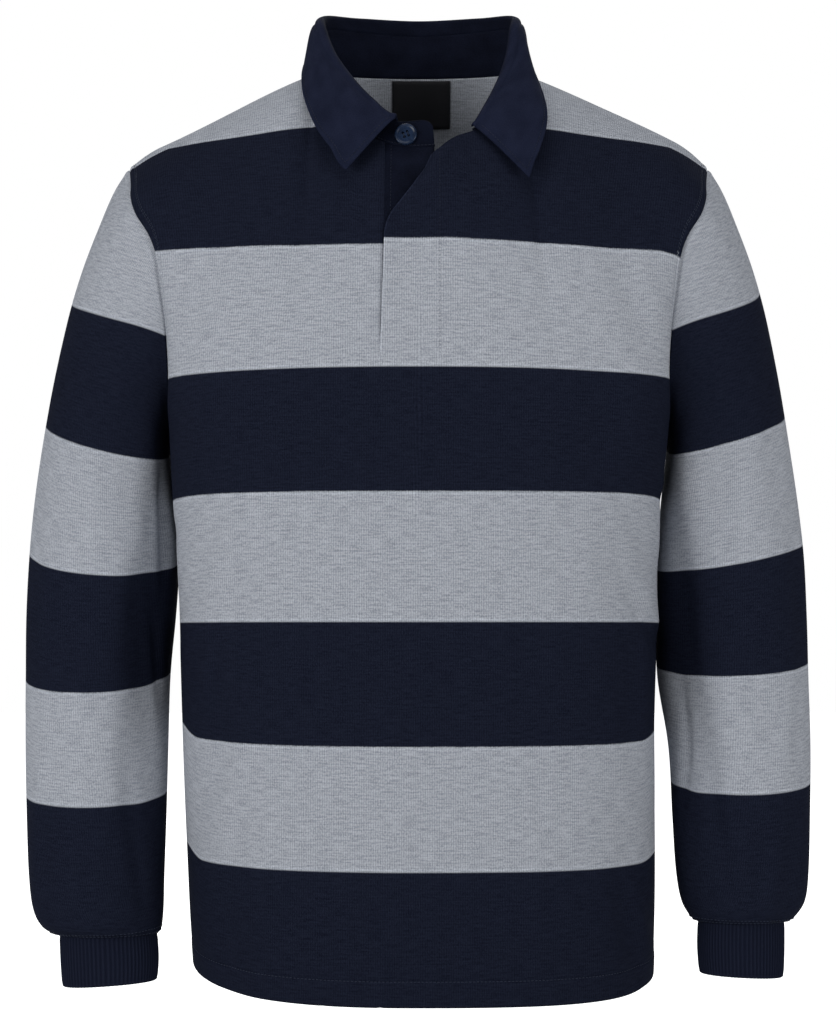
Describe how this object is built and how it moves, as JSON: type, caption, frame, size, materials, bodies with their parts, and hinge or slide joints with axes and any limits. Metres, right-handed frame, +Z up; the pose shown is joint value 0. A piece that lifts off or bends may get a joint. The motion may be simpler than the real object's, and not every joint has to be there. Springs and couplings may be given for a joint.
{
  "type": "rugby shirt",
  "caption": "Long-sleeved rugby shirt in striped knit, filled out as worn, with a turned-down twill collar, open neck placket and ribbed cuffs.",
  "frame": {"origin": "middle of the neck opening, level with the neck ends of the shoulder seams, where the wearer's neck and shoulders hold the shirt", "axes": "+Z up, -Y the way the shirt's front faces, +X to the right of somebody looking at the front"},
  "size_m": [0.6346, 0.2384, 0.7971],
  "materials": {
    "striped_knit": "matt cotton knit, grey with navy stripes",
    "navy_twill": "matt cotton twill",
    "navy_facing": "matt close-woven cotton, darker than the collar",
    "navy_rib": "matt cotton rib knit",
    "label_satin": "woven satin",
    "button_resin": "glossy resin"
  },
  "bodies": {
    "root": {"front": "striped_knit", "back": "striped_knit", "sleeve_left": "striped_knit", "sleeve_right": "striped_knit", "placket_upper": "striped_knit", "placket_under": "navy_facing", "collar_leaf": "navy_twill", "collar_band": "navy_facing", "cuff_left": "navy_rib", "cuff_right": "navy_rib", "neck_label": "label_satin", "button_neck": "button_resin"}
  },
  "joints": []
}
